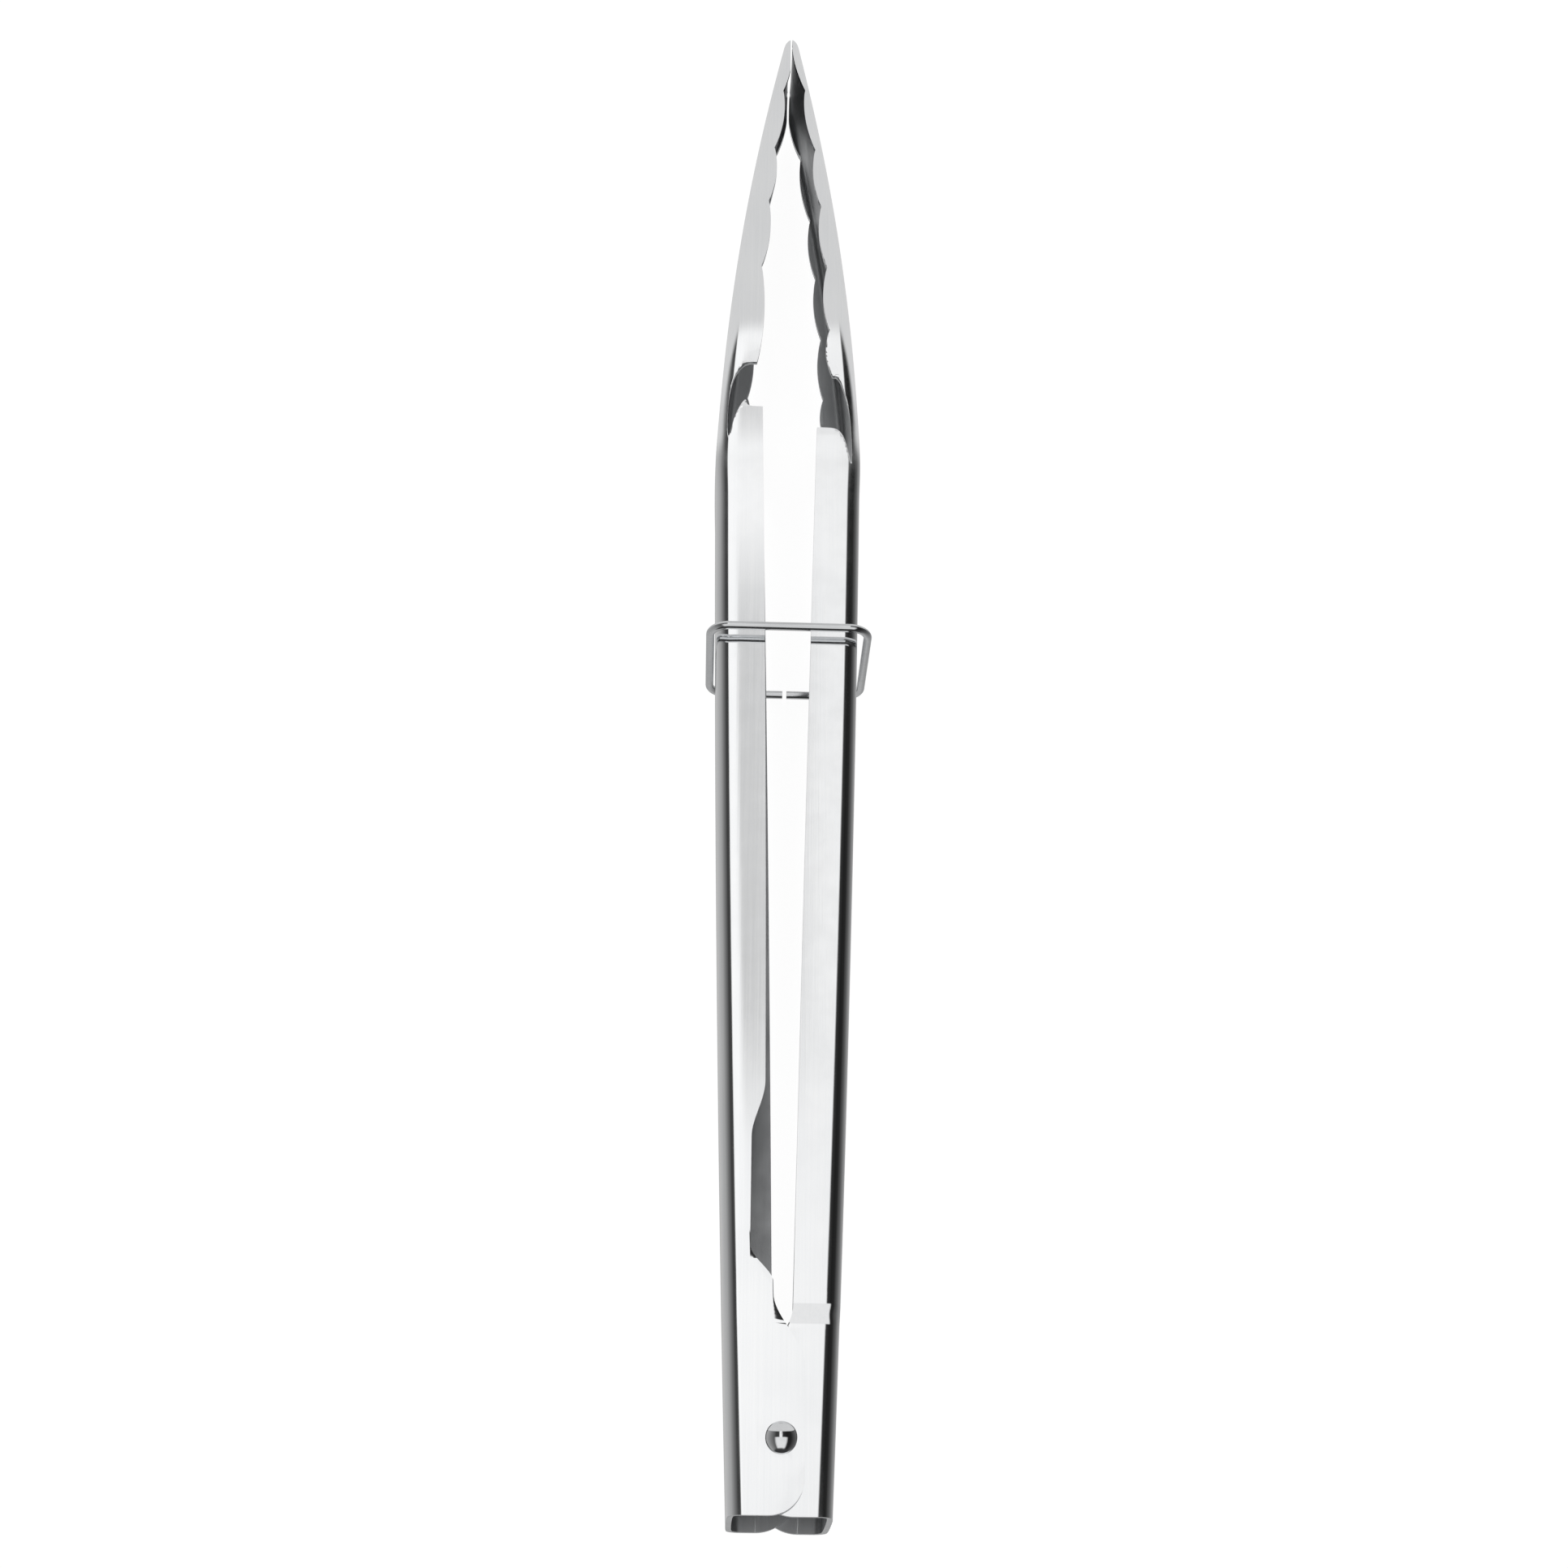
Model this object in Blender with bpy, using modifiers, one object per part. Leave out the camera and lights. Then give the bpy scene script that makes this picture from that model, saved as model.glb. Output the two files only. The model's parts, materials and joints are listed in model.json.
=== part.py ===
"""Spring loaded kitchen tongs: two stamped steel arms on one rivet, held shut by a sliding wire ring.

Frame: +Y runs from the pivot end to the tips, +X is the side the right arm opens to, +Z is along the rivet.
The origin is under the middle of the tongs, on the surface they lie on.
"""
import math

import bmesh
import bpy
from mathutils import Matrix, Vector

MM = 0.001

# Overall
LENGTH = 301.0 * MM
Y_END = -LENGTH / 2            # pivot end of the arms
SHEET = 0.9 * MM               # steel sheet thickness
BEND_RADIUS = 2.3 * MM         # outside radius between spine and flange
SPINE_ARCH = 0.15 * MM         # how far the spine bulges outward
CLEARANCE = 0.3 * MM           # gap left between touching pieces

# Arms, measured from the pivot end
ARM_HALF_DEPTH = 10.5 * MM
JAW_HALF_DEPTH = 11.7 * MM
TIP_HALF_DEPTH = 10.8 * MM
TIP_CORNER = 3.0 * MM
PIVOT_FROM_END = 11.4 * MM
BEND_AT = 192.0 * MM           # where the jaw starts to lean inward
JOGGLE_AT = 30.5 * MM          # where the inner ear steps in
JOGGLE_LENGTH = 3.0 * MM
EAR_HOLE = 1.8 * MM

# Rivet, sleeve and spring
RIVET_SHANK = 1.5 * MM
RIVET_HEAD = 2.45 * MM
RIVET_DOME = 1.2 * MM
SLEEVE_OUTER = 2.35 * MM
SPRING_WIRE = 1.2 * MM
SPRING_RADIUS = 3.4 * MM       # coil, to the middle of the wire
SPRING_TURNS = 6.5
SPRING_PITCH = 1.45 * MM
SPRING_LEG = 42.0 * MM

# Lock ring
RING_WIRE = 1.5 * MM
RING_FROM_END = 153.7 * MM
RING_PLAY_LEFT = 0.25 * MM     # the ring leans on the left arm's spine
RING_PLAY_RIGHT = 0.95 * MM
RING_HALF_HEIGHT = 12.9 * MM   # to the middle of the wire
RING_CORNER = 3.5 * MM
RING_BUTT_GAP = 0.8 * MM

Z_MID = RING_HALF_HEIGHT + RING_WIRE / 2
ARMS_X = -(RING_PLAY_RIGHT - RING_PLAY_LEFT) / 2   # the arms' centre plane, the ring's being at 0
PIVOT = Vector((ARMS_X, Y_END + PIVOT_FROM_END, Z_MID))

STEEL = (0.80, 0.81, 0.82, 1.0)


def smooth_step(t):
    t = min(max(t, 0.0), 1.0)
    return t * t * (3 - 2 * t)


def half_width(y):
    """Distance from the centre plane to the outside of the spine, y from the pivot end."""
    y_mm = y / MM
    arm = 8.05 + 0.0408 * y_mm - 0.00006 * y_mm ** 2
    past = y_mm - BEND_AT / MM
    jaw = 13.85 - 0.034 * past - 0.000765 * past ** 2
    blend = smooth_step((past + 8.0) / 16.0)
    return (arm * (1 - blend) + jaw * blend) * MM


def half_depth(y):
    """Half the arm's depth along the rivet axis: flared at the jaw and rounded off at the tip."""
    flare = smooth_step((y - BEND_AT) / (34 * MM))
    depth = ARM_HALF_DEPTH + (JAW_HALF_DEPTH - ARM_HALF_DEPTH) * flare
    taper = smooth_step((y - 240 * MM) / (55 * MM))
    depth += (TIP_HALF_DEPTH - JAW_HALF_DEPTH) * taper
    over = y - (LENGTH - TIP_CORNER)
    if over > 0:
        depth -= TIP_CORNER - math.sqrt(max(TIP_CORNER ** 2 - over ** 2, 0.0))
    return depth


def joggle(y):
    """How far the inner ear steps in, to lie inside the other arm's ear."""
    step = smooth_step((JOGGLE_AT + JOGGLE_LENGTH / 2 - y) / JOGGLE_LENGTH)
    return (SHEET + CLEARANCE) * step


def section(y, reach):
    """Outside of the U section at y, from the edge of the outer-ear flange to the edge of the other."""
    width = half_width(y)
    top = half_depth(y)
    bottom = -(half_depth(y) - joggle(y))
    points = [(reach, top)]
    steps = 4
    for i in range(steps + 1):
        a = math.pi / 2 * i / steps
        points.append((-width + BEND_RADIUS * (1 - math.sin(a)), top - BEND_RADIUS * (1 - math.cos(a))))
    middle = (top + bottom) / 2
    points.append((-width - SPINE_ARCH * 0.8, (top + middle) / 2))
    points.append((-width - SPINE_ARCH, middle))
    points.append((-width - SPINE_ARCH * 0.8, (bottom + middle) / 2))
    for i in range(steps, -1, -1):
        a = math.pi / 2 * i / steps
        points.append((-width + BEND_RADIUS * (1 - math.sin(a)), bottom + BEND_RADIUS * (1 - math.cos(a))))
    points.append((reach, bottom))
    return points


def stations():
    """Places along the arm where a section is made: close together where the shape changes."""
    places = [0.0, 14 * MM, 28 * MM]
    places += [JOGGLE_AT + JOGGLE_LENGTH * k for k in (-0.5, -0.17, 0.17, 0.5)]
    places += [(50 + 33 * k) * MM for k in range(5)]
    places += [(188 + 5 * k) * MM for k in range(6)]
    places += [(224 + 12 * k) * MM for k in range(6)]
    corner = LENGTH - TIP_CORNER
    places += [corner + TIP_CORNER * math.sin(math.radians(a)) for a in (0, 25, 45, 63, 80)]
    return places


def new_object(name, mesh, collection, colour, roughness):
    obj = bpy.data.objects.new(name, mesh)
    collection.objects.link(obj)
    material = bpy.data.materials.new(name + "_steel")
    material.use_nodes = True
    shader = material.node_tree.nodes["Principled BSDF"]
    shader.inputs["Base Color"].default_value = colour
    shader.inputs["Roughness"].default_value = roughness
    shader.inputs["Metallic"].default_value = 1.0
    mesh.materials.append(material)
    return obj


def arc(centre, radius, start_deg, end_deg, steps):
    """Points on an arc in a plane, both ends included."""
    out = []
    for i in range(steps + 1):
        a = math.radians(start_deg + (end_deg - start_deg) * i / steps)
        out.append((centre[0] + radius * math.cos(a), centre[1] + radius * math.sin(a)))
    return out


def scallops(notches, bulge, steps=6):
    """A scalloped edge: a shallow arch between each two notches."""
    points = [notches[0]]
    for start, end in zip(notches, notches[1:]):
        for i in range(1, steps + 1):
            t = i / steps
            x = start[0] + (end[0] - start[0]) * t
            y = start[1] + (end[1] - start[1]) * t
            arch = bulge * math.sin(math.pi * t) ** 0.8 if t < 1 else 0.0
            points.append((min(x + arch, -0.2), y))
    return points


def cut_out_edge(spec):
    """The long shallow cut-out beside the ear, from its lower shoulder to its upper one."""
    cut = spec["cut_out"]
    points = []
    places = [cut["start"] + cut["lower_shoulder"] * i / 5 for i in range(1, 6)]
    places += [cut["end"] - cut["upper_shoulder"] * i / 5 for i in range(5, -1, -1)]
    for y in places:
        along = (y - cut["start"]) / (cut["end"] - cut["start"])
        edge = spec["edge_start"] + (cut["edge_after"] - spec["edge_start"]) * along
        depth = smooth_step((y - cut["start"]) / cut["lower_shoulder"])
        depth *= smooth_step((cut["end"] - y) / cut["upper_shoulder"])
        points.append((edge + (cut["floor"] - edge) * depth, y))
    return points


def flange_outline(spec):
    """Edge of one flange of the left arm, in mm from the pivot end, closed far beyond it."""
    ear_x = 3.6
    corner = spec["ear_corner"]
    edge = [(30.0, -8.0), (-15.0, -8.0), (-15.0, 0.0)]
    edge += arc((ear_x - corner, corner), corner, -90, 0, 6)
    for i in range(7):
        t = i / 6
        x = ear_x + (spec["edge_start"] - ear_x) * smooth_step(t)
        edge.append((x, spec["ear_end"] - 11.0 * (1 - t)))
    if spec["cut_out"]:
        edge += cut_out_edge(spec)
    start_x, start_y = edge[-1]
    steps = 6
    for i in range(1, steps + 1):
        t = i / steps
        x = start_x + (spec["edge_end"] - start_x) * t + spec["bow"] * 4 * t * (1 - t)
        edge.append((x, start_y + (spec["flange_end"] - start_y) * t))
    edge += spec["relief"]
    edge += scallops(spec["notches"], spec["bulge"])
    edge.append((-0.15, LENGTH / MM + 0.2))
    edge += [(-0.15, LENGTH / MM + 8.0), (30.0, LENGTH / MM + 8.0)]
    return edge


# The relief opening at the bend and the scalloped edge, for the two flanges of each arm, in mm.
RELIEF_HIGH = [
    (-8.1, 203.8), (-8.3, 205.6), (-9.3, 204.2), (-10.4, 201.5), (-11.0, 198.5), (-11.5, 196.5),
    (-11.8, 198.5), (-11.75, 203.5), (-11.4, 207.5), (-10.6, 210.6), (-9.4, 212.8), (-8.0, 213.9),
]
RELIEF_LOW = [
    (-8.6, 199.4), (-9.8, 198.7), (-10.7, 197.0), (-11.4, 193.9), (-11.9, 191.0),
    (-12.1, 193.5), (-12.0, 199.0), (-11.5, 204.0), (-10.6, 207.9), (-9.9, 210.1), (-9.2, 211.2),
]
DEEP_NOTCHES = [
    (-6.3, 213.9), (-5.7, 237.4), (-4.45, 254.2), (-3.4, 268.6), (-1.7, 284.5), (-0.2, LENGTH / MM),
]
SHALLOW_NOTCHES = [
    (-8.4, 211.2), (-7.8, 221.8), (-7.35, 237.3), (-6.2, 253.0), (-5.0, 268.3), (-2.9, 285.0),
    (-0.2, LENGTH / MM),
]
CUT_OUT = {
    "start": 35.2, "end": 69.0, "lower_shoulder": 6.0, "upper_shoulder": 10.0,
    "floor": -5.2, "edge_after": -3.05,
}
DEEP_FLANGE = {
    "ear_end": 33.5, "edge_start": -1.4, "edge_end": -5.05, "flange_end": 203.8, "bow": 0.24,
    "relief": RELIEF_HIGH, "notches": DEEP_NOTCHES, "bulge": 1.0, "cut_out": CUT_OUT,
    "ear_corner": 5.5,
}
SHALLOW_FLANGE = {
    "ear_end": 31.5, "edge_start": -1.7, "edge_end": -5.4, "flange_end": 199.4, "bow": 0.1,
    "relief": RELIEF_LOW, "notches": SHALLOW_NOTCHES, "bulge": 1.0, "cut_out": None,
    "ear_corner": 5.5,
}

WIDE_FLANGE = dict(SHALLOW_FLANGE, edge_start=-0.95, edge_end=-4.3, bow=0.2, ear_corner=7.0)
NARROW_FLANGE = dict(SHALLOW_FLANGE, edge_start=-2.35, edge_end=-6.15, bow=0.0, ear_corner=7.0)


def sheet_blank(name, collection):
    """The bent sheet before trimming: an open lofted surface, made solid inward."""
    bm = bmesh.new()
    rows = []
    for y in stations():
        rows.append([bm.verts.new((x, y - PIVOT_FROM_END, z)) for x, z in section(y, 4.5 * MM)])
    for row, after in zip(rows, rows[1:]):
        for i in range(len(row) - 1):
            bm.faces.new((row[i], after[i], after[i + 1], row[i + 1]))
    bmesh.ops.recalc_face_normals(bm, faces=bm.faces)
    outward = sum((f.normal.z for f in bm.faces if f.calc_center_median().z > ARM_HALF_DEPTH * 0.98))
    if outward < 0:
        bmesh.ops.reverse_faces(bm, faces=bm.faces)
    mesh = bpy.data.meshes.new(name)
    bm.to_mesh(mesh)
    bm.free()
    blank = new_object(name, mesh, collection, STEEL, 0.12)
    solid = blank.modifiers.new("sheet", "SOLIDIFY")
    solid.thickness = SHEET
    solid.offset = -1.0
    solid.use_even_offset = True
    return blank


def outline_cutter(name, spec, low, high, collection):
    """A prism of everything beyond one flange's edge, between two heights."""
    bm = bmesh.new()
    points = flange_outline(spec)
    base = [bm.verts.new((x * MM, y * MM - PIVOT_FROM_END, low)) for x, y in points]
    face = bm.faces.new(base)
    raised = bmesh.ops.extrude_face_region(bm, geom=[face])["geom"]
    lifted = [v for v in raised if isinstance(v, bmesh.types.BMVert)]
    bmesh.ops.translate(bm, verts=lifted, vec=(0, 0, high - low))
    bmesh.ops.recalc_face_normals(bm, faces=bm.faces)
    mesh = bpy.data.meshes.new(name)
    bm.to_mesh(mesh)
    bm.free()
    return add_cutter(bpy.data.objects.new(name, mesh), collection)


def add_cutter(obj, collection):
    collection.objects.link(obj)
    obj.hide_render = True
    obj.display_type = "WIRE"
    return obj


def hole_cutter(name, collection):
    bm = bmesh.new()
    bmesh.ops.create_cone(
        bm, cap_ends=True, segments=20, radius1=EAR_HOLE, radius2=EAR_HOLE, depth=40 * MM)
    mesh = bpy.data.meshes.new(name)
    bm.to_mesh(mesh)
    bm.free()
    return add_cutter(bpy.data.objects.new(name, mesh), collection)


def make_arm(name, outer_ear_flange, inner_ear_flange, parts, cutters):
    """One stamped arm about the pivot, as the left arm."""
    arm = sheet_blank(name, parts)
    far = 20 * MM
    tools = (
        outline_cutter(name + "_upper_edge", outer_ear_flange, 0.0, far, cutters),
        outline_cutter(name + "_lower_edge", inner_ear_flange, -far, 0.0, cutters),
        hole_cutter(name + "_hole", cutters),
    )
    for tool in tools:
        cut = arm.modifiers.new(tool.name, "BOOLEAN")
        cut.operation = "DIFFERENCE"
        cut.solver = "EXACT"
        cut.object = tool
        tool.parent = arm
    return arm


def turned(name, profile, parts, steps=24):
    """A part of revolution about Z from a closed profile of (radius, height)."""
    bm = bmesh.new()
    verts = [bm.verts.new((r, 0, z)) for r, z in profile]
    for a, b in zip(verts, verts[1:] + verts[:1]):
        if a.co.x > 0 or b.co.x > 0:
            bm.edges.new((a, b))
    mesh = bpy.data.meshes.new(name)
    bm.to_mesh(mesh)
    bm.free()
    obj = new_object(name, mesh, parts, STEEL, 0.15)
    screw = obj.modifiers.new("turn", "SCREW")
    screw.steps = steps
    screw.render_steps = steps
    screw.use_merge_vertices = True
    screw.merge_threshold = 0.00001
    screw.use_smooth_shade = True
    obj.location = PIVOT
    return obj


def make_rivet(parts):
    seat = ARM_HALF_DEPTH + CLEARANCE * 0.5
    dome_radius = (RIVET_HEAD ** 2 + RIVET_DOME ** 2) / (2 * RIVET_DOME)
    dome_centre = seat + RIVET_DOME - dome_radius
    half_angle = math.degrees(math.asin(RIVET_HEAD / dome_radius))
    head = arc((0, dome_centre), dome_radius, 90, 90 - half_angle, 6)
    head[0] = (0.0, head[0][1])
    upper = head + [(RIVET_SHANK, seat)]
    lower = [(r, -z) for r, z in reversed(upper)]
    return turned("pivot_rivet", upper + lower, parts)


def make_sleeve(parts):
    inner = RIVET_SHANK + CLEARANCE
    half = ARM_HALF_DEPTH - 2 * SHEET - 2 * CLEARANCE
    profile = [(inner, half), (SLEEVE_OUTER, half), (SLEEVE_OUTER, -half), (inner, -half)]
    return turned("spacer_sleeve", profile, parts)


def wire_object(name, points, diameter, parts, resolution):
    curve = bpy.data.curves.new(name, "CURVE")
    curve.dimensions = "3D"
    curve.bevel_depth = diameter / 2
    curve.bevel_resolution = resolution
    curve.use_fill_caps = True
    spline = curve.splines.new("POLY")
    spline.points.add(len(points) - 1)
    for slot, point in zip(spline.points, points):
        slot.co = (*point, 1.0)
    return new_object(name, curve, parts, STEEL, 0.15)


def make_spring(parts):
    """A coil round the sleeve, wound so that its legs leave along the tangent to the spines."""
    per_turn = 10
    count = int(SPRING_TURNS * per_turn)
    height = SPRING_PITCH * SPRING_TURNS
    coil = []
    for i in range(count + 1):
        a = -2 * math.pi * i / per_turn
        z = height * (i / count - 0.5)
        coil.append(Vector((SPRING_RADIUS * math.cos(a), SPRING_RADIUS * math.sin(a), z)))
    spine = half_width(SPRING_LEG + PIVOT_FROM_END) - SHEET - SPRING_WIRE / 2 - CLEARANCE

    def leg(side, z):
        """From the coil's side to where the leg lies against the spine."""
        return [Vector((side * SPRING_RADIUS, SPRING_RADIUS, z)), Vector((side * spine, SPRING_LEG, z))]

    lower = list(reversed(leg(1, coil[0].z)))
    upper = leg(-1, coil[-1].z)
    return wire_object("torsion_spring", lower + coil + upper, SPRING_WIRE, parts, 2)


def make_ring(parts):
    """A rectangle of bent wire round both arms, its ends butting on the underside."""
    play = (RING_PLAY_LEFT + RING_PLAY_RIGHT) / 2
    half_x = half_width(RING_FROM_END) + SPINE_ARCH + play + RING_WIRE / 2
    half_z = RING_HALF_HEIGHT
    r = RING_CORNER
    gap = RING_BUTT_GAP / 2
    path = [(gap, -half_z)]
    path += arc((half_x - r, -half_z + r), r, -90, 0, 5)
    path += arc((half_x - r, half_z - r), r, 0, 90, 5)
    path += arc((-half_x + r, half_z - r), r, 90, 180, 5)
    path += arc((-half_x + r, -half_z + r), r, 180, 270, 5)
    path.append((-gap, -half_z))
    ring = wire_object("lock_ring", [Vector((x, 0, z)) for x, z in path], RING_WIRE, parts, 3)
    ring.location = (0, Y_END + RING_FROM_END, Z_MID)
    return ring


def main():
    for obj in list(bpy.data.objects):
        bpy.data.objects.remove(obj, do_unlink=True)
    parts = bpy.data.collections.new("kitchen_tongs")
    cutters = bpy.data.collections.new("cutters")
    bpy.context.scene.collection.children.link(parts)
    bpy.context.scene.collection.children.link(cutters)

    left = make_arm("left_arm", DEEP_FLANGE, WIDE_FLANGE, parts, cutters)
    left.location = PIVOT
    right = make_arm("right_arm", NARROW_FLANGE, SHALLOW_FLANGE, parts, cutters)
    right.matrix_world = Matrix.Translation(PIVOT) @ Matrix.Rotation(math.pi, 4, "Y")
    make_rivet(parts)
    make_sleeve(parts)
    spring = make_spring(parts)
    spring.location = PIVOT
    make_ring(parts)


main()
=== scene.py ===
"""Looks of the spring loaded kitchen tongs: polished stamped steel arms, a drawn wire ring, a domed rivet.

Frame: +Y runs from the pivot end to the tips, +X is the side that the right arm opens to,
and +Z is up, along the rivet.
"""
import json
import math

import bmesh
import bpy
from mathutils import Matrix, Vector


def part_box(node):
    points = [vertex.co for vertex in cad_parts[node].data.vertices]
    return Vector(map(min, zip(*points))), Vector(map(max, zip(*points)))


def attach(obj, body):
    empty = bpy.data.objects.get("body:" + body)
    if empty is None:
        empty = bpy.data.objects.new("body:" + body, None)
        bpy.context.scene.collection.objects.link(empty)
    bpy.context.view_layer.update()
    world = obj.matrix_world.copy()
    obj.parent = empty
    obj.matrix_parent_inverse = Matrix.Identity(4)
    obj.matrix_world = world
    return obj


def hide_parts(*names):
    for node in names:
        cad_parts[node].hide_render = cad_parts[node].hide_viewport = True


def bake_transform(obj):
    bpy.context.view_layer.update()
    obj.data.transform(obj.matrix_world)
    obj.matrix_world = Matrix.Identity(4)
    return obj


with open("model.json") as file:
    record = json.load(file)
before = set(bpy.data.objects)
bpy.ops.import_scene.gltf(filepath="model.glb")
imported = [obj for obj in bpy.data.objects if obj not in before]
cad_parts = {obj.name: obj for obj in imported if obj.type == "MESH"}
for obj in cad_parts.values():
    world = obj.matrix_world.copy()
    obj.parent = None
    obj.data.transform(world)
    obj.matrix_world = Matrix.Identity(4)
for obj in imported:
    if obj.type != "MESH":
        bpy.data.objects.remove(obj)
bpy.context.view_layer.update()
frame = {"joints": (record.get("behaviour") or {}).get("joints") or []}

MM = 0.001


# ---------------------------------------------------------------- dimensions, the same as the CAD's

LENGTH = 301.0                 # mm, measured from the pivot end
SHEET = 0.9
BEND_RADIUS = 2.3
SPINE_ARCH = 0.15
CLEARANCE = 0.3
ARM_HALF_DEPTH = 10.5
JAW_HALF_DEPTH = 11.7
TIP_HALF_DEPTH = 10.8
TIP_CORNER = 3.0
BEND_AT = 192.0                # where the jaw starts to lean inward
JOGGLE_AT = 30.5               # where the inner ear steps in
JOGGLE_LENGTH = 3.0
EAR_HOLE = 1.8
ROLL_WIDTH = 2.5               # strip of flange beside the bend that rolls over a little
ROLL_DROP = 0.07
ROLL_FROM = 36.0               # the ears stay flat up to here
ROLL_BLEND = 20.0
FLANGE_REACH = 4.5             # how far the untrimmed flange goes past the centre plane
TOOL_DEPTH = 20.0              # half of what the trimming tools span along the rivet
WELD = 0.000005                # m

RIVET_SHANK = 1.5
RIVET_HEAD = 2.45
RIVET_DOME = 1.2
SLEEVE_OUTER = 2.35
SPRING_WIRE = 1.2
SPRING_RADIUS = 3.4
SPRING_TURNS = 6.5
SPRING_PITCH = 1.45
SPRING_LEG = 42.0

RING_WIRE = 1.5
RING_CORNER = 3.5
RING_BUTT_GAP = 0.8

hinge = next(j for j in frame["joints"] if j["name"] == "arm_open")
PIVOT = Vector(hinge["pos_m"])
END_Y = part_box("left_arm")[0].y
PIVOT_FROM_END = (PIVOT.y - END_Y) / MM
ring_low, ring_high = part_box("lock_ring")
RING_CENTRE = (ring_low + ring_high) / 2
RING_HALF_HEIGHT = (ring_high.z - ring_low.z) / 2 / MM - RING_WIRE / 2
TOP_PLANE = PIVOT.z + ARM_HALF_DEPTH * MM


def smooth_step(t):
    t = min(max(t, 0.0), 1.0)
    return t * t * (3 - 2 * t)


def half_width(y):
    """Centre plane to the outside of the spine."""
    past = y - BEND_AT
    arm = 8.05 + 0.0408 * y - 0.00006 * y ** 2
    jaw = 13.85 - 0.034 * past - 0.000765 * past ** 2
    blend = smooth_step((past + 8.0) / 16.0)
    return arm * (1 - blend) + jaw * blend


def half_depth(y):
    """Half the arm's depth along the rivet: flared at the jaw, rounded off at the tip."""
    depth = ARM_HALF_DEPTH + (JAW_HALF_DEPTH - ARM_HALF_DEPTH) * smooth_step((y - BEND_AT) / 34)
    depth += (TIP_HALF_DEPTH - JAW_HALF_DEPTH) * smooth_step((y - 240) / 55)
    over = y - (LENGTH - TIP_CORNER)
    if over > 0:
        depth -= TIP_CORNER - math.sqrt(max(TIP_CORNER ** 2 - over ** 2, 0.0))
    return depth


def joggle(y):
    """How far the inner ear steps in, to lie inside the other arm's ear."""
    return (SHEET + CLEARANCE) * smooth_step((JOGGLE_AT + JOGGLE_LENGTH / 2 - y) / JOGGLE_LENGTH)


# ---------------------------------------------------------------- flange edges, in mm from the pivot end

RELIEF_HIGH = [
    (-8.1, 203.8), (-8.3, 205.6), (-9.3, 204.2), (-10.4, 201.5), (-11.0, 198.5), (-11.5, 196.5),
    (-11.8, 198.5), (-11.75, 203.5), (-11.4, 207.5), (-10.6, 210.6), (-9.4, 212.8), (-8.0, 213.9),
]
RELIEF_LOW = [
    (-8.6, 199.4), (-9.8, 198.7), (-10.7, 197.0), (-11.4, 193.9), (-11.9, 191.0),
    (-12.1, 193.5), (-12.0, 199.0), (-11.5, 204.0), (-10.6, 207.9), (-9.9, 210.1), (-9.2, 211.2),
]
DEEP_NOTCHES = [
    (-6.3, 213.9), (-5.7, 237.4), (-4.45, 254.2), (-3.4, 268.6), (-1.7, 284.5), (-0.2, LENGTH),
]
SHALLOW_NOTCHES = [
    (-8.4, 211.2), (-7.8, 221.8), (-7.35, 237.3), (-6.2, 253.0), (-5.0, 268.3), (-2.9, 285.0),
    (-0.2, LENGTH),
]
CUT_OUT = {
    "start": 35.2, "end": 69.0, "lower_shoulder": 6.0, "upper_shoulder": 10.0,
    "floor": -5.2, "edge_after": -3.05,
}
DEEP_FLANGE = {
    "ear_end": 33.5, "edge_start": -1.4, "edge_end": -5.05, "flange_end": 203.8, "bow": 0.24,
    "relief": RELIEF_HIGH, "notches": DEEP_NOTCHES, "bulge": 1.0, "cut_out": CUT_OUT,
    "ear_corner": 5.5,
}
SHALLOW_FLANGE = {
    "ear_end": 31.5, "edge_start": -1.7, "edge_end": -5.4, "flange_end": 199.4, "bow": 0.1,
    "relief": RELIEF_LOW, "notches": SHALLOW_NOTCHES, "bulge": 1.0, "cut_out": None,
    "ear_corner": 5.5,
}
WIDE_FLANGE = dict(SHALLOW_FLANGE, edge_start=-0.95, edge_end=-4.3, bow=0.2, ear_corner=7.0)
NARROW_FLANGE = dict(SHALLOW_FLANGE, edge_start=-2.35, edge_end=-6.15, bow=0.0, ear_corner=7.0)

EAR_X = 3.6


def arc(centre, radius, start_deg, end_deg, steps):
    out = []
    for i in range(steps + 1):
        a = math.radians(start_deg + (end_deg - start_deg) * i / steps)
        out.append((centre[0] + radius * math.cos(a), centre[1] + radius * math.sin(a)))
    return out


def softened(points, passes):
    """An open line with its corners rounded, its two ends kept."""
    for _ in range(passes):
        line = [points[0]]
        for (ax, ay), (bx, by) in zip(points, points[1:]):
            line.append((ax * 0.75 + bx * 0.25, ay * 0.75 + by * 0.25))
            line.append((ax * 0.25 + bx * 0.75, ay * 0.25 + by * 0.75))
        line.append(points[-1])
        points = line
    return points


def scallops(notches, bulge, steps=16):
    """A scalloped edge: a shallow arch between each two notches."""
    points = [notches[0]]
    for start, end in zip(notches, notches[1:]):
        for i in range(1, steps + 1):
            t = i / steps
            x = start[0] + (end[0] - start[0]) * t
            y = start[1] + (end[1] - start[1]) * t
            arch = bulge * math.sin(math.pi * t) ** 0.8 if t < 1 else 0.0
            points.append((min(x + arch, -0.2), y))
    return points


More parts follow.
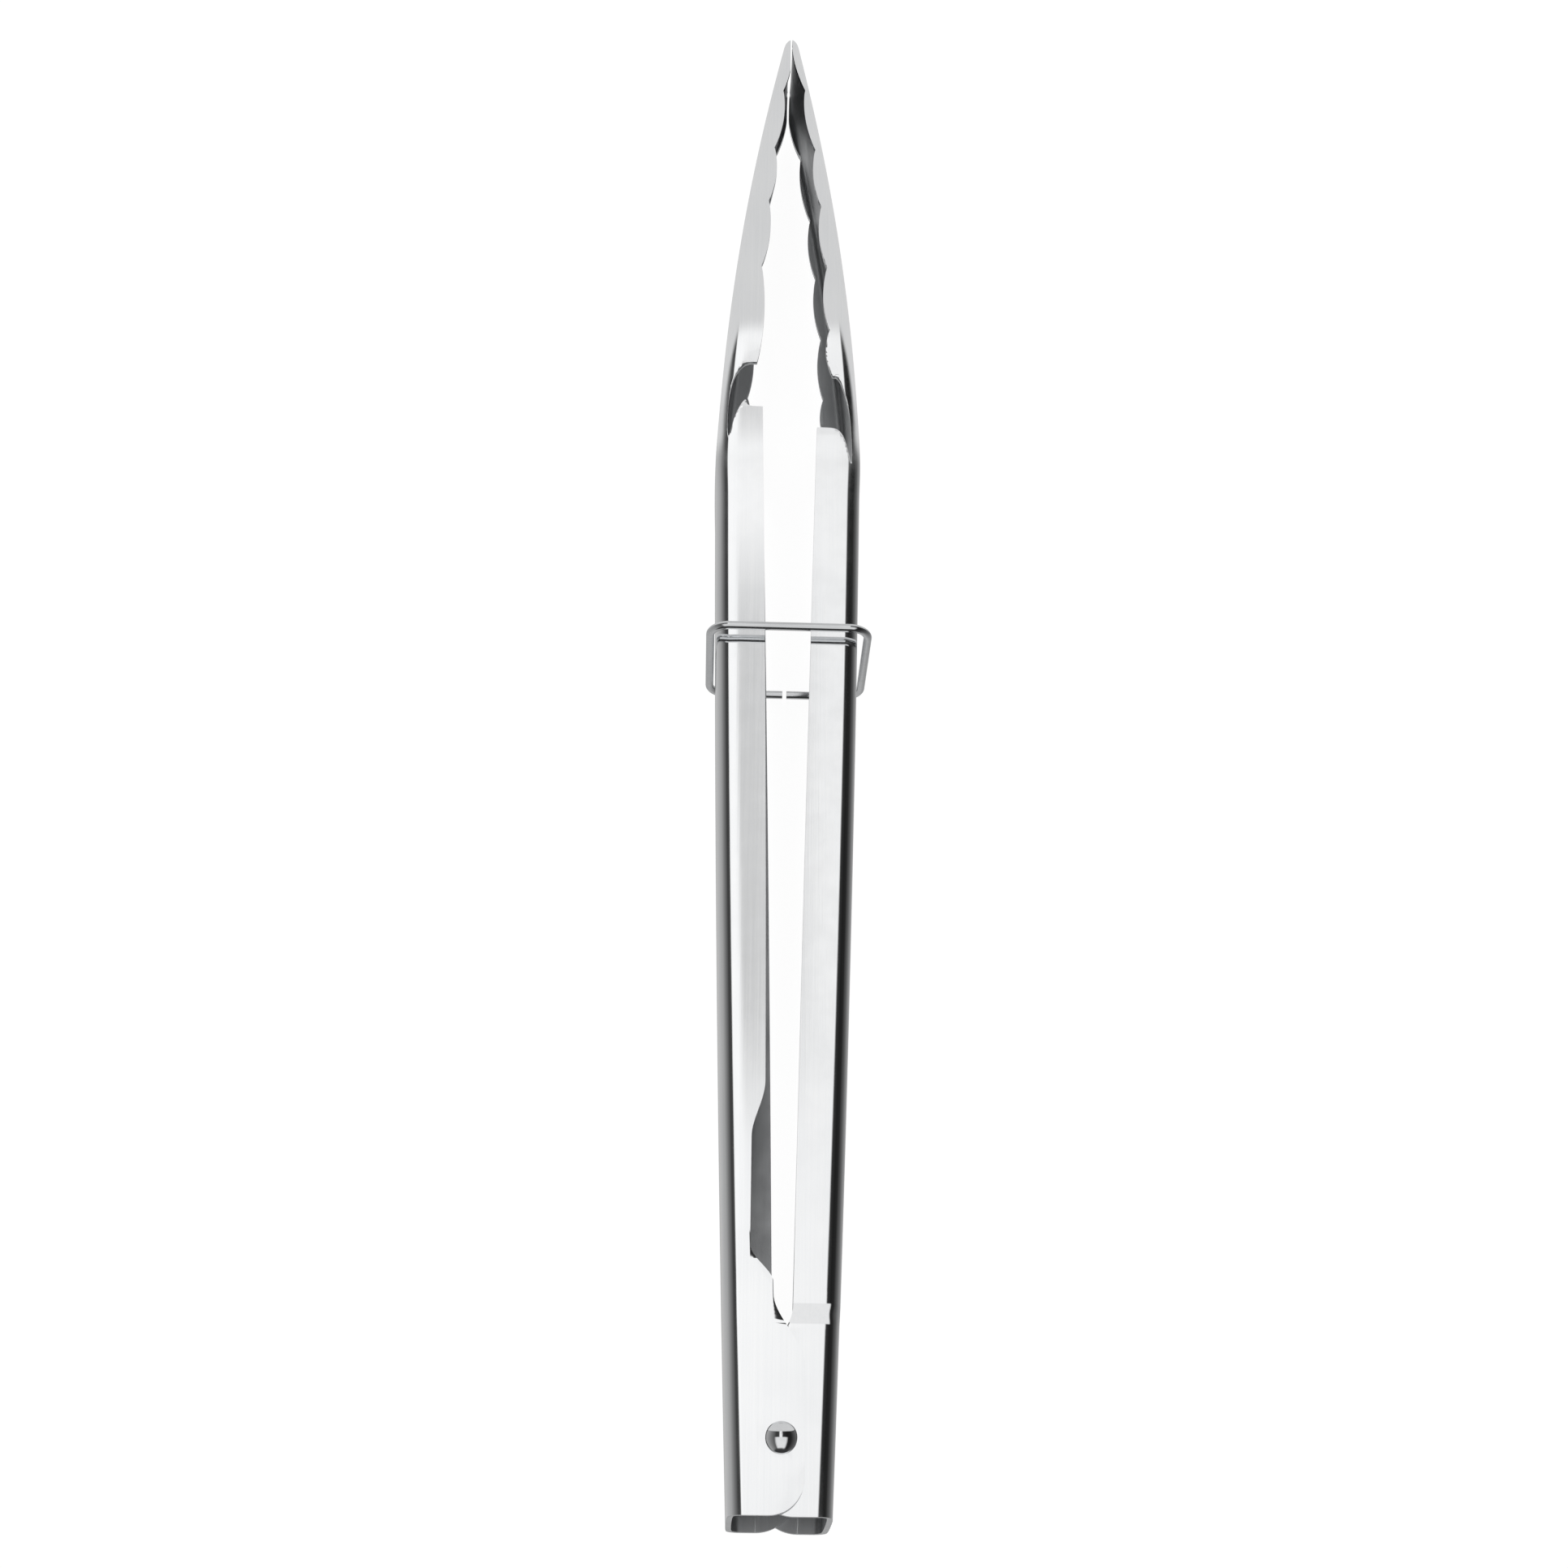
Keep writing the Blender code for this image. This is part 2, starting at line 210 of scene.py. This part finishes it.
def cut_out_edge(spec):
    """The long shallow cut-out beside the ear."""
    cut = spec["cut_out"]
    steps = 14
    places = [cut["start"] + cut["lower_shoulder"] * i / steps for i in range(1, steps + 1)]
    places += [cut["end"] - cut["upper_shoulder"] * i / steps for i in range(steps, -1, -1)]
    points = []
    for y in places:
        along = (y - cut["start"]) / (cut["end"] - cut["start"])
        edge = spec["edge_start"] + (cut["edge_after"] - spec["edge_start"]) * along
        depth = smooth_step((y - cut["start"]) / cut["lower_shoulder"])
        depth *= smooth_step((cut["end"] - y) / cut["upper_shoulder"])
        points.append((edge + (cut["floor"] - edge) * depth, y))
    return points


def flange_outline(spec):
    """What is cut away from one flange of the left arm, in mm from the pivot end."""
    edge = [(30.0, -8.0), (-15.0, -8.0), (-15.0, 0.0)]
    corner = spec["ear_corner"]
    edge += arc((EAR_X - corner, corner), corner, -90, 0, 20)
    steps = 18
    for i in range(steps + 1):
        t = i / steps
        x = EAR_X + (spec["edge_start"] - EAR_X) * smooth_step(t)
        edge.append((x, spec["ear_end"] - 11.0 * (1 - t)))
    if spec["cut_out"]:
        edge += cut_out_edge(spec)
    start_x, start_y = edge[-1]
    steps = 24
    for i in range(1, steps + 1):
        t = i / steps
        x = start_x + (spec["edge_end"] - start_x) * t + spec["bow"] * 4 * t * (1 - t)
        edge.append((x, start_y + (spec["flange_end"] - start_y) * t))
    last = edge.pop()
    relief = softened([last] + spec["relief"] + [spec["notches"][0]], 2)
    edge += relief[:-1]
    edge += scallops(spec["notches"], spec["bulge"])
    edge += [(-0.15, LENGTH + 0.2), (-0.15, LENGTH + 8.0), (30.0, LENGTH + 8.0)]
    return edge


# ---------------------------------------------------------------- materials

class Nodes:
    """Small helper for making and joining shader nodes."""

    def __init__(self, name):
        self.material = bpy.data.materials.new(name)
        self.material.use_nodes = True
        self.tree = self.material.node_tree
        self.shader = self.tree.nodes["Principled BSDF"]

    def add(self, kind, **settings):
        node = self.tree.nodes.new(kind)
        for key, value in settings.items():
            setattr(node, key, value)
        return node

    def join(self, source, target):
        self.tree.links.new(source, target)


def noise(nodes, vector, scale, detail, roughness=0.55):
    node = nodes.add("ShaderNodeTexNoise")
    node.inputs["Scale"].default_value = scale
    node.inputs["Detail"].default_value = detail
    node.inputs["Roughness"].default_value = roughness
    nodes.join(vector, node.inputs["Vector"])
    return node.outputs["Fac"]


def ranged(nodes, value, low, high, out_low, out_high):
    node = nodes.add("ShaderNodeMapRange")
    for name, number in (("From Min", low), ("From Max", high), ("To Min", out_low), ("To Max", out_high)):
        node.inputs[name].default_value = number
    nodes.join(value, node.inputs["Value"])
    return node.outputs["Result"]


def maths(nodes, operation, a, b):
    node = nodes.add("ShaderNodeMath", operation=operation)
    nodes.join(a, node.inputs[0])
    if isinstance(b, float):
        node.inputs[1].default_value = b
    else:
        nodes.join(b, node.inputs[1])
    return node.outputs["Value"]


def blended(nodes, factor, dark, light):
    node = nodes.add("ShaderNodeMix", data_type="RGBA")
    node.inputs["A"].default_value = dark
    node.inputs["B"].default_value = light
    nodes.join(factor, node.inputs["Factor"])
    return node.outputs["Result"]


def steel(name, light, dark, rough_low, rough_high, stretch, line_strength, wear=0.0):
    """Metal with fine polishing lines along one axis, faint clouding, and worn convex edges."""
    nodes = Nodes(name)
    where = nodes.add("ShaderNodeTexCoord").outputs["Object"]
    squeeze = nodes.add("ShaderNodeMapping")
    squeeze.inputs["Scale"].default_value = stretch
    nodes.join(where, squeeze.inputs["Vector"])

    lines = noise(nodes, squeeze.outputs["Vector"], 1.0, 5.0, 0.65)
    clouds = noise(nodes, where, 55.0, 3.0)
    smears = noise(nodes, where, 210.0, 4.0, 0.6)

    tone = maths(nodes, "ADD", maths(nodes, "MULTIPLY", lines, 0.5), maths(nodes, "MULTIPLY", clouds, 0.5))
    colour = blended(nodes, ranged(nodes, tone, 0.36, 0.64, 0.0, 1.0), dark, light)
    rough = ranged(nodes, maths(nodes, "ADD", maths(nodes, "MULTIPLY", smears, 0.6),
                                maths(nodes, "MULTIPLY", lines, 0.4)), 0.34, 0.66, rough_low, rough_high)
    if wear:
        point = nodes.add("ShaderNodeNewGeometry").outputs["Pointiness"]
        edge = ranged(nodes, point, 0.52, 0.58, 0.0, wear)
        rough = maths(nodes, "ADD", rough, edge)
    nodes.join(colour, nodes.shader.inputs["Base Color"])
    nodes.join(rough, nodes.shader.inputs["Roughness"])

    bump = nodes.add("ShaderNodeBump")
    bump.inputs["Strength"].default_value = line_strength
    bump.inputs["Distance"].default_value = 0.00002
    nodes.join(lines, bump.inputs["Height"])
    nodes.join(bump.outputs["Normal"], nodes.shader.inputs["Normal"])
    nodes.shader.inputs["Metallic"].default_value = 1.0
    return nodes.material


POLISHED = steel("polished_sheet_steel", (0.97, 0.975, 0.98, 1), (0.91, 0.92, 0.93, 1),
                 0.045, 0.10, (2600.0, 26.0, 2600.0), 0.10, wear=0.05)
# The channel's inside: a rougher unpolished finish, its colour also darkened as painted shade inside the
# channel.
INSIDE = steel("mill_finish_and_painted_shade_steel", (0.62, 0.63, 0.64, 1), (0.54, 0.55, 0.56, 1),
               0.36, 0.50, (1500.0, 18.0, 1500.0), 0.25)
EDGE = steel("sheared_edge_steel", (0.66, 0.67, 0.68, 1), (0.50, 0.51, 0.52, 1),
             0.16, 0.30, (300.0, 300.0, 3200.0), 0.35)
RIVET_STEEL = steel("rivet_steel", (0.90, 0.91, 0.92, 1), (0.80, 0.81, 0.82, 1),
                    0.05, 0.12, (900.0, 900.0, 900.0), 0.12, wear=0.05)
RING_STEEL = steel("drawn_ring_wire", (0.80, 0.81, 0.82, 1), (0.66, 0.67, 0.68, 1),
                   0.07, 0.16, (120.0, 2800.0, 2800.0), 0.18)
SPRING_STEEL = steel("spring_wire_steel", (0.50, 0.50, 0.51, 1), (0.36, 0.36, 0.37, 1),
                     0.22, 0.36, (1200.0, 1200.0, 400.0), 0.30)


# ---------------------------------------------------------------- the arms

INSIDE_SLOT, EDGE_SLOT = 1, 2     # the polished outside is slot 0


def station_list():
    """Places along the arm where a section is made, closer where the shape changes."""
    places = [0.0]
    stops = [(28.0, 4.0), (34.0, 0.3), (183.0, 5.0), (232.0, 1.2), (LENGTH - TIP_CORNER, 3.0)]
    for stop, step in stops:
        count = max(1, round((stop - places[-1]) / step))
        start = places[-1]
        places += [start + (stop - start) * i / count for i in range(1, count + 1)]
    corner = places[-1]
    places += [corner + TIP_CORNER * math.sin(math.radians(a)) for a in range(8, 81, 8)]
    return places


FLAT_STEPS = 3
ROLL_STEPS = 12
BEND_STEPS = 12
SPINE_STEPS = 8


def section(y, roll):
    """Outside of the U section: flange, bend, arched spine, bend, flange."""
    width = half_width(y)
    top = half_depth(y)
    bottom = -(half_depth(y) - joggle(y))
    middle = (top + bottom) / 2
    half = (top - bottom) / 2
    drop = ROLL_DROP * roll * smooth_step((y - ROLL_FROM) / ROLL_BLEND)
    lean = math.atan(2 * drop / ROLL_WIDTH)
    bend = []
    for i in range(BEND_STEPS + 1):
        a = lean + (math.pi / 2 - lean) * i / BEND_STEPS
        fall = drop + BEND_RADIUS * (math.cos(lean) - math.cos(a))
        bend.append((-width + BEND_RADIUS * (1 - math.sin(a)), fall))
    bend_x = bend[0][0]
    flat = bend_x + ROLL_WIDTH - FLANGE_REACH
    flange = [(FLANGE_REACH + flat * i / FLAT_STEPS, 0.0) for i in range(FLAT_STEPS)]
    for i in range(ROLL_STEPS):
        t = i / ROLL_STEPS
        flange.append((bend_x + ROLL_WIDTH * (1 - t), drop * t ** 2))
    side = flange + bend
    points = [(x, top - fall) for x, fall in side]
    for i in range(1, SPINE_STEPS):
        t = i / SPINE_STEPS
        z = (top - BEND_RADIUS) * (1 - t) + (bottom + BEND_RADIUS) * t
        along = (z - middle) / half
        points.append((-width - SPINE_ARCH * (1 - along ** 2), z))
    points += [(x, bottom + fall) for x, fall in reversed(side)]
    return points


def sheet_mesh(name, roll):
    """The bent sheet before trimming: an open lofted surface, its normals outward."""
    bm = bmesh.new()
    rows = []
    for y in station_list():
        rows.append([
            bm.verts.new((x * MM, (y - PIVOT_FROM_END) * MM, z * MM)) for x, z in section(y, roll)])
    for row, after in zip(rows, rows[1:]):
        for i in range(len(row) - 1):
            bm.faces.new((row[i], after[i], after[i + 1], row[i + 1]))
    bmesh.ops.recalc_face_normals(bm, faces=bm.faces)
    near_top = ARM_HALF_DEPTH * 0.98 * MM
    if sum(f.normal.z for f in bm.faces if f.calc_center_median().z > near_top) < 0:
        bmesh.ops.reverse_faces(bm, faces=bm.faces)
    mesh = bpy.data.meshes.new(name)
    bm.to_mesh(mesh)
    bm.free()
    return mesh


def outline_tool(name, spec, low, high):
    """What trims one flange: its outline drawn out along the rivet."""
    bm = bmesh.new()
    base = [bm.verts.new((x * MM, (y - PIVOT_FROM_END) * MM, low * MM)) for x, y in flange_outline(spec)]
    face = bm.faces.new(base)
    raised = bmesh.ops.extrude_face_region(bm, geom=[face])["geom"]
    lifted = [v for v in raised if isinstance(v, bmesh.types.BMVert)]
    bmesh.ops.translate(bm, verts=lifted, vec=(0, 0, (high - low) * MM))
    bmesh.ops.recalc_face_normals(bm, faces=bm.faces)
    mesh = bpy.data.meshes.new(name)
    bm.to_mesh(mesh)
    bm.free()
    mesh.materials.append(EDGE)
    tool = bpy.data.objects.new(name, mesh)
    bpy.context.scene.collection.objects.link(tool)
    return tool


def hole_tool(name):
    """What bores both ears for the rivet."""
    bm = bmesh.new()
    bmesh.ops.create_cone(
        bm, cap_ends=True, segments=64, radius1=EAR_HOLE * MM, radius2=EAR_HOLE * MM,
        depth=2 * TOOL_DEPTH * MM)
    mesh = bpy.data.meshes.new(name)
    bm.to_mesh(mesh)
    bm.free()
    mesh.materials.append(EDGE)
    tool = bpy.data.objects.new(name, mesh)
    bpy.context.scene.collection.objects.link(tool)
    return tool


def apply_modifiers(obj):
    """Apply the object's modifiers to its mesh."""
    graph = bpy.context.evaluated_depsgraph_get()
    mesh = bpy.data.meshes.new_from_object(obj.evaluated_get(graph), depsgraph=graph)
    obj.modifiers.clear()
    obj.data = mesh


def shade(obj, angle_deg=40):
    """Smooth faces that meet sharply only past the angle, with the larger faces setting the normals."""
    bm = bmesh.new()
    bm.from_mesh(obj.data)
    limit = math.radians(angle_deg)
    for f in bm.faces:
        f.smooth = True
    for e in bm.edges:
        e.smooth = not (len(e.link_faces) == 2 and e.calc_face_angle(0.0) > limit)
    bm.to_mesh(obj.data)
    bm.free()
    weigh = obj.modifiers.new("weighted", "WEIGHTED_NORMAL")
    weigh.mode = "FACE_AREA"
    weigh.weight = 100
    weigh.keep_sharp = True
    apply_modifiers(obj)


def make_arm(name, node, body, upper, lower, roll, turn):
    """One stamped arm about the pivot, as the left arm, then turned about Y when it is the right one."""
    obj = bpy.data.objects.new(name, sheet_mesh(name, roll))
    bpy.context.scene.collection.objects.link(obj)
    for material in (POLISHED, INSIDE, EDGE):
        obj.data.materials.append(material)
    solid = obj.modifiers.new("sheet", "SOLIDIFY")
    solid.thickness = SHEET * MM
    solid.offset = -1.0
    solid.use_even_offset = True
    solid.material_offset = INSIDE_SLOT
    solid.material_offset_rim = EDGE_SLOT
    tools = (
        outline_tool(name + "_upper", upper, 0.0, TOOL_DEPTH),
        outline_tool(name + "_lower", lower, -TOOL_DEPTH, 0.0),
        hole_tool(name + "_hole"),
    )
    for tool in tools:
        cut = obj.modifiers.new(tool.name, "BOOLEAN")
        cut.operation = "DIFFERENCE"
        cut.solver = "EXACT"
        cut.object = tool
        cut.material_mode = "TRANSFER"
    apply_modifiers(obj)
    for tool in tools:
        bpy.data.objects.remove(tool)
    obj.data.transform(Matrix.Translation(PIVOT) @ Matrix.Rotation(turn, 4, "Y"))
    ease_edges(obj)
    shade(obj)
    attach(obj, body)
    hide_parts(node)


EDGE_EASE = 0.05               # mm, the tumbled edge of the stamping
SHEARED_DEG = 60               # edges sharper than this were sheared


def ease_edges(obj):
    """A small round on the sheared edges, as tumbling leaves them."""
    bm = bmesh.new()
    bm.from_mesh(obj.data)
    bmesh.ops.remove_doubles(bm, verts=bm.verts, dist=WELD)
    limit = math.radians(SHEARED_DEG)
    sharp = [e for e in bm.edges if len(e.link_faces) == 2 and e.calc_face_angle(0.0) > limit]
    bmesh.ops.bevel(
        bm, geom=sharp, offset=EDGE_EASE * MM, offset_type="OFFSET", segments=2, profile=0.5,
        affect="EDGES", clamp_overlap=True)
    bm.to_mesh(obj.data)
    bm.free()


make_arm("left_arm_polished", "left_arm", "left_body", DEEP_FLANGE, WIDE_FLANGE, 1.0, 0.0)
make_arm("right_arm_polished", "right_arm", "right_body", NARROW_FLANGE, SHALLOW_FLANGE, 0.0, math.pi)


# ---------------------------------------------------------------- rivet, sleeve, spring, ring

def turned(name, profile, steps=96):
    """A part of revolution about the pivot from a closed profile of (radius, height) in mm."""
    bm = bmesh.new()
    verts = [bm.verts.new((r * MM, 0, z * MM)) for r, z in profile]
    for a, b in zip(verts, verts[1:] + verts[:1]):
        if a.co.x > 0 or b.co.x > 0:
            bm.edges.new((a, b))
    geometry = bm.verts[:] + bm.edges[:]
    bmesh.ops.spin(
        bm, geom=geometry, angle=2 * math.pi, steps=steps, axis=(0, 0, 1), cent=(0, 0, 0), use_merge=True)
    bmesh.ops.remove_doubles(bm, verts=bm.verts, dist=0.000002)
    bmesh.ops.recalc_face_normals(bm, faces=bm.faces)
    bmesh.ops.translate(bm, verts=bm.verts, vec=PIVOT)
    mesh = bpy.data.meshes.new(name)
    bm.to_mesh(mesh)
    bm.free()
    obj = bpy.data.objects.new(name, mesh)
    bpy.context.scene.collection.objects.link(obj)
    return obj


def finish_piece(obj, material, body, node):
    obj.data.materials.append(material)
    shade(obj)
    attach(obj, body)
    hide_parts(node)


def make_rivet():
    """Two domed heads on one shank, each head with a small rounded rim."""
    seat = ARM_HALF_DEPTH + CLEARANCE * 0.5
    radius = (RIVET_HEAD ** 2 + RIVET_DOME ** 2) / (2 * RIVET_DOME)
    centre = seat + RIVET_DOME - radius
    half_angle = math.degrees(math.asin(RIVET_HEAD / radius))
    rim = 0.12
    head = arc((0, centre), radius, 90, 90 - half_angle * 0.96, 20)
    head[0] = (0.0, head[0][1])
    head += [(RIVET_HEAD, seat + rim), (RIVET_HEAD - rim * 0.3, seat + rim * 0.3), (RIVET_HEAD - rim, seat)]
    upper = head + [(RIVET_SHANK, seat)]
    lower = [(r, -z) for r, z in reversed(upper)]
    finish_piece(turned("rivet_domed", upper + lower), RIVET_STEEL, "left_body", "pivot_rivet")


def make_sleeve():
    """A rolled tube with eased ends."""
    inner = RIVET_SHANK + CLEARANCE
    half = ARM_HALF_DEPTH - 2 * SHEET - 2 * CLEARANCE
    ease = 0.12
    profile = [
        (inner + ease, half), (SLEEVE_OUTER - ease, half), (SLEEVE_OUTER, half - ease),
        (SLEEVE_OUTER, -half + ease), (SLEEVE_OUTER - ease, -half), (inner + ease, -half),
        (inner, -half + ease), (inner, half - ease)]
    finish_piece(turned("sleeve_rolled", profile), RIVET_STEEL, "left_body", "spacer_sleeve")


def wire(name, points, diameter, sides=12):
    """A round wire along a line of points in mm, its ends capped flat."""
    curve = bpy.data.curves.new(name, "CURVE")
    curve.dimensions = "3D"
    curve.bevel_depth = diameter / 2 * MM
    curve.bevel_resolution = sides
    curve.use_fill_caps = True
    spline = curve.splines.new("POLY")
    spline.points.add(len(points) - 1)
    for slot, point in zip(spline.points, points):
        slot.co = (*(Vector(point) * MM), 1.0)
    holder = bpy.data.objects.new(name, curve)
    bpy.context.scene.collection.objects.link(holder)
    graph = bpy.context.evaluated_depsgraph_get()
    mesh = bpy.data.meshes.new_from_object(holder.evaluated_get(graph), depsgraph=graph)
    bpy.data.objects.remove(holder)
    obj = bpy.data.objects.new(name, mesh)
    bpy.context.scene.collection.objects.link(obj)
    return obj


def make_spring():
    """A torsion coil round the sleeve, its two legs lying along the insides of the spines."""
    per_turn = 36
    count = int(SPRING_TURNS * per_turn)
    height = SPRING_PITCH * SPRING_TURNS
    coil = []
    for i in range(count + 1):
        a = -2 * math.pi * i / per_turn
        coil.append((SPRING_RADIUS * math.cos(a), SPRING_RADIUS * math.sin(a), height * (i / count - 0.5)))
    spine = half_width(SPRING_LEG + PIVOT_FROM_END) - SHEET - SPRING_WIRE / 2 - CLEARANCE

    def leg(side, z):
        return [(side * SPRING_RADIUS, SPRING_RADIUS, z), (side * spine, SPRING_LEG, z)]

    lower = list(reversed(leg(1, coil[0][2])))
    upper = leg(-1, coil[-1][2])
    obj = wire("spring_coiled", lower + coil + upper, SPRING_WIRE, 6)
    obj.data.transform(Matrix.Translation(PIVOT))
    obj.data.materials.append(SPRING_STEEL)
    shade(obj, 50)
    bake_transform(obj)
    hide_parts("torsion_spring")


def make_ring():
    """A rectangle of bent wire round both arms, its ends butting on the underside."""
    half_x = (ring_high.x - ring_low.x) / 2 / MM - RING_WIRE / 2
    half_z = RING_HALF_HEIGHT
    r = RING_CORNER
    gap = RING_BUTT_GAP / 2
    steps = 16
    path = [(gap, -half_z)]
    path += arc((half_x - r, -half_z + r), r, -90, 0, steps)
    path += arc((half_x - r, half_z - r), r, 0, 90, steps)
    path += arc((-half_x + r, half_z - r), r, 90, 180, steps)
    path += arc((-half_x + r, -half_z + r), r, 180, 270, steps)
    path.append((-gap, -half_z))
    obj = wire("lock_ring_bent", [(x, 0, z) for x, z in path], RING_WIRE, 10)
    obj.data.transform(Matrix.Translation(RING_CENTRE))
    finish_piece(obj, RING_STEEL, "ring_body", "lock_ring")


make_rivet()
make_sleeve()
make_spring()
make_ring()


# ---------------------------------------------------------------- floor, tent, light and camera

FLOOR_SIZE = 6.0
FLOOR_DROP = 0.0005
FLOOR_GLOW = 0.91


def floor_paper():
    """White paper lit evenly from all round."""
    material = bpy.data.materials.new("white_paper")
    material.use_nodes = True
    shader = material.node_tree.nodes["Principled BSDF"]
    shader.inputs["Base Color"].default_value = (0.30, 0.30, 0.30, 1)
    shader.inputs["Roughness"].default_value = 0.9
    shader.inputs["Specular IOR Level"].default_value = 0.0
    shader.inputs["Emission Color"].default_value = (1, 1, 1, 1)
    shader.inputs["Emission Strength"].default_value = FLOOR_GLOW
    return material


def make_floor():
    bm = bmesh.new()
    bmesh.ops.create_grid(bm, x_segments=1, y_segments=1, size=0.5)
    bmesh.ops.scale(bm, vec=(FLOOR_SIZE, FLOOR_SIZE, 1), verts=bm.verts)
    mesh = bpy.data.meshes.new("floor")
    bm.to_mesh(mesh)
    bm.free()
    mesh.materials.append(floor_paper())
    floor = bpy.data.objects.new("floor", mesh)
    bpy.context.scene.collection.objects.link(floor)
    floor.location = (0, 0, -FLOOR_DROP)
    floor.visible_glossy = False       # the steel reflects the tent's lower half instead


make_floor()

# The tent: brightness by the angle from straight up towards +X, in degrees
TENT_ACROSS = [
    (-180, 0.50), (-126, 0.46), (-85, 0.36), (-55, 0.18), (-28, 0.045), (-12, 0.06), (-8, 1.00), (-2, 1.00),
    (4.5, 0.92), (8, 0.10), (12, 0.03), (33, 0.014), (59, 0.02), (89, 0.10), (130, 0.30), (180, 0.50),
]
FAR_PANEL = (0.565, 0.605, 0.66)       # towards the tips: from, to, brightness
NEAR_PANEL = (0.10, 0.04, 0.82)        # a wide panel on the pivot end's side
NEAR_PANEL_ACROSS = (-42, -26, 26, 42)  # degrees
NEAR_CARD = (-0.78, -0.90, 0.04)       # a dark card low beyond the pivot end
GREY_STRIP = 0.62                      # a duller strip of the overhead panel
STRIP_ACROSS = (-2.5, -0.5, 1.8, 3.0)  # degrees
STRIP_ALONG = (0.28, 0.36, 0.50, 0.56)


def tent():
    """A world lit as a studio tent is, by direction only."""
    world = bpy.data.worlds.new("studio_tent")
    bpy.context.scene.world = world
    world.use_nodes = True
    tree = world.node_tree
    backing = tree.nodes["Background"]

    def math_node(operation, a, b=None):
        node = tree.nodes.new("ShaderNodeMath")
        node.operation = operation
        for slot, value in ((0, a), (1, b)):
            if value is None:
                continue
            if isinstance(value, (int, float)):
                node.inputs[slot].default_value = value
            else:
                tree.links.new(value, node.inputs[slot])
        return node.outputs[0]

    def ramp(angle, stops):
        part = math_node("ADD", math_node("DIVIDE", angle, 2 * math.pi), 0.5)
        node = tree.nodes.new("ShaderNodeValToRGB")
        node.color_ramp.interpolation = "LINEAR"
        elements = node.color_ramp.elements
        while len(elements) > 1:
            elements.remove(elements[-1])
        for i, (degrees, level) in enumerate(stops):
            place = degrees / 360 + 0.5
            element = elements[0] if i == 0 else elements.new(place)
            element.position = place
            element.color = (level, level, level, 1)
        tree.links.new(part, node.inputs[0])
        return node.outputs["Color"]

    split = tree.nodes.new("ShaderNodeSeparateXYZ")
    tree.links.new(tree.nodes.new("ShaderNodeTexCoord").outputs["Generated"], split.inputs[0])
    x, y, z = split.outputs

    def step(value, start, end):
        """From 0 at start to 1 at end, smoothly, whichever is larger."""
        node = tree.nodes.new("ShaderNodeMapRange")
        node.interpolation_type = "SMOOTHSTEP"
        low, high = min(start, end), max(start, end)
        node.inputs["From Min"].default_value = low
        node.inputs["From Max"].default_value = high
        node.inputs["To Min"].default_value = 0.0 if start < end else 1.0
        node.inputs["To Max"].default_value = 1.0 if start < end else 0.0
        tree.links.new(value, node.inputs["Value"])
        return node.outputs["Result"]

    def between(value, edges):
        """1 between the middle two edges, 0 outside the outer two."""
        return math_node("MULTIPLY", step(value, edges[0], edges[1]), step(value, edges[3], edges[2]))

    def mixed(level, other, amount):
        kept = math_node("MULTIPLY", level, math_node("SUBTRACT", 1.0, amount))
        return math_node("ADD", kept, math_node("MULTIPLY", other, amount))

    angle = math_node("ARCTAN2", x, z)
    level = ramp(angle, TENT_ACROSS)
    across = between(angle, [math.radians(a) for a in STRIP_ACROSS])
    level = mixed(level, GREY_STRIP, math_node("MULTIPLY", across, between(y, STRIP_ALONG)))
    level = mixed(level, FAR_PANEL[2], step(y, FAR_PANEL[0], FAR_PANEL[1]))
    across = between(angle, [math.radians(a) for a in NEAR_PANEL_ACROSS])
    panel = math_node("MULTIPLY", across, step(y, NEAR_PANEL[0], NEAR_PANEL[1]))
    level = mixed(level, NEAR_PANEL[2], panel)
    level = mixed(level, NEAR_CARD[2], step(y, NEAR_CARD[0], NEAR_CARD[1]))
    tree.links.new(level, backing.inputs["Strength"])
    backing.inputs["Color"].default_value = (1, 1, 1, 1)


tent()


FILL_POWER = 0.8
FILL_SIZE = (0.5, 0.3)
FILL_PLACE = Vector((-0.25, -1.3, 1.1))


def make_fill():
    """A soft light from beyond the pivot end, aimed at the tongs."""
    light = bpy.data.lights.new("front_fill", "AREA")
    light.shape = "RECTANGLE"
    light.size, light.size_y = FILL_SIZE
    light.energy = FILL_POWER
    fill = bpy.data.objects.new("front_fill", light)
    bpy.context.scene.collection.objects.link(fill)
    fill.location = FILL_PLACE
    fill.rotation_euler = (-FILL_PLACE).to_track_quat("-Z", "Y").to_euler()
    fill.visible_glossy = False


make_fill()

# Where the camera stands from the arms' centre plane, the pivot end and the top flange plane
CAMERA_OFFSET = Vector((-12.41, -47.77, 342.25)) * MM
CAMERA_RIGHT = Vector((0.99918, 0.00715, 0.03866))
CAMERA_BACK = Vector((-0.03141, -0.4462, 0.8942))

lens = bpy.data.cameras.new("camera")
lens.lens = 50.0
lens.sensor_width = 36.0
lens.clip_start = 0.01
camera = bpy.data.objects.new("camera", lens)
bpy.context.scene.collection.objects.link(camera)
camera_up = CAMERA_BACK.cross(CAMERA_RIGHT).normalized()
camera_side = camera_up.cross(CAMERA_BACK).normalized()
turn = Matrix((camera_side, camera_up, CAMERA_BACK.normalized())).transposed().to_4x4()
place = Vector((PIVOT.x, END_Y, TOP_PLANE)) + CAMERA_OFFSET
camera.matrix_world = Matrix.Translation(place) @ turn
bpy.context.scene.camera = camera
bpy.context.scene.view_settings.view_transform = "Standard"
